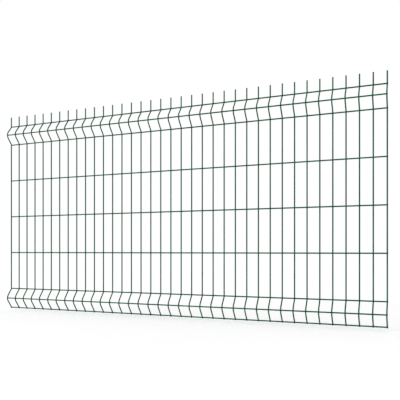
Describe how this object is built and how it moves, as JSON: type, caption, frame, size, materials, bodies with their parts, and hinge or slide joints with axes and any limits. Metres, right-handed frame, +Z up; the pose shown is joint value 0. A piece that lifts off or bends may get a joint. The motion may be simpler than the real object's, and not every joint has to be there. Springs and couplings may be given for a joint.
{
  "type": "welded mesh fence panel",
  "caption": "Green coated welded wire fence panel with a shallow V fold along its top and bottom and free spikes above the top wire.",
  "frame": {"origin": "rear flat of the lowest line wire, at the middle of its length and the height of its axis", "axes": "+X along the panel, +Y to the rear, towards the posts, away from the folds, +Z up"},
  "size_m": [1.987, 0.0409, 1.0622],
  "materials": {
    "green_coating": "satin"
  },
  "bodies": {
    "root": {"mesh_panel": "green_coating"}
  },
  "joints": []
}
